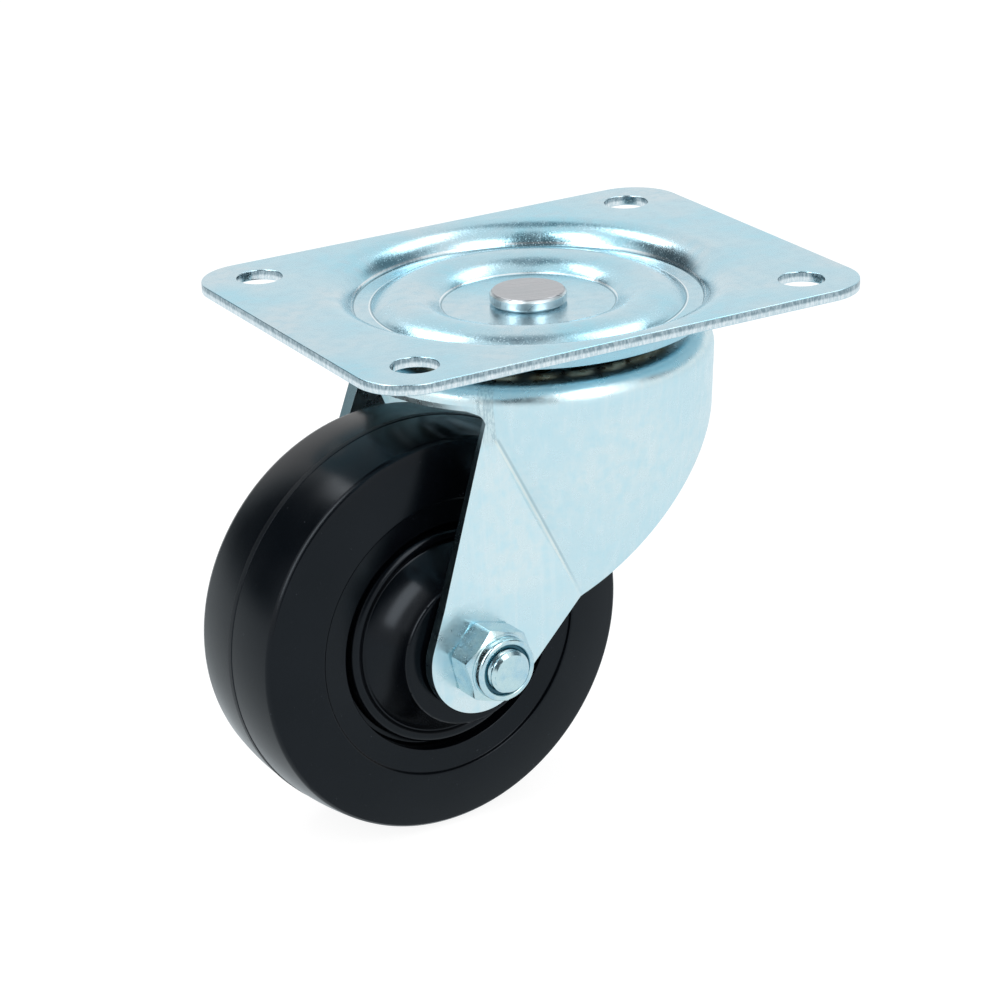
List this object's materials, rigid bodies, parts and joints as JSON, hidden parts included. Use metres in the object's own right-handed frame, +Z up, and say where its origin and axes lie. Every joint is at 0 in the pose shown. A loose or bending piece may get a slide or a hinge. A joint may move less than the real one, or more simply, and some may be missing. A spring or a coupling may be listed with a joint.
{
  "type": "rubber swivel caster",
  "caption": "Swivel caster with a rectangular bolt-on top plate, double ball race, pressed fork and a solid rubber wheel on a bolted axle.",
  "frame": {"origin": "centre of the bolt pattern on the top plate's upper face", "axes": "+Z up out of the top plate along the swivel axis, X along the long bolt pitch, Y along the short one"},
  "size_m": [0.118, 0.079, 0.0984],
  "materials": {
    "zinc_plate": "bright blue-white zinc plating on pressed sheet, faint rolling marks",
    "zinc_fork": "blue-white zinc plating with vertical draw marks",
    "zinc_fastener": "bright zinc plating on turned and forged fasteners",
    "ground_steel": "ground head with curved brush marks, bright edge",
    "ball_steel": "polished balls in a film of grease",
    "wheel_rubber": "glossy black moulded rubber with a mould line on the tread",
    "liner_plastic": "black moulded bearing liner",
    "insert_nylon": "blue-green nylon locking ring"
  },
  "bodies": {
    "plate": {"top_plate": "zinc_plate", "kingpin": "ground_steel", "lower_race": "zinc_plate"},
    "upper_ball_ring": {"upper_balls": "ball_steel"},
    "lower_ball_ring": {"lower_balls": "ball_steel"},
    "fork": {"fork": "zinc_fork", "axle_sleeve": "zinc_fastener", "axle_bolt": "zinc_fastener", "axle_nut": "zinc_fastener", "nylon_insert": "insert_nylon"},
    "wheel": {"wheel": "wheel_rubber", "hub_liner": "liner_plastic"}
  },
  "joints": [
    {"name": "swivel", "type": "hinge", "parent": "plate", "child": "fork", "pos_m": [0, 0, -0.0101], "axis": [0, 0, 1], "continuous": true},
    {"name": "upper_ball_roll", "type": "hinge", "parent": "plate", "child": "upper_ball_ring", "pos_m": [0, 0, -0.0071], "axis": [0, 0, 1], "continuous": true},
    {"name": "lower_ball_roll", "type": "hinge", "parent": "plate", "child": "lower_ball_ring", "pos_m": [0, 0, -0.0137], "axis": [0, 0, 1], "continuous": true},
    {"name": "wheel_spin", "type": "hinge", "parent": "fork", "child": "wheel", "pos_m": [-0.02814, -0.00182, -0.0596], "axis": [0.0645, -0.9979, 0], "continuous": true}
  ],
  "couplings": [
    {"joint": "upper_ball_roll", "follows": "swivel", "ratio": 0.5},
    {"joint": "lower_ball_roll", "follows": "swivel", "ratio": 0.5}
  ]
}
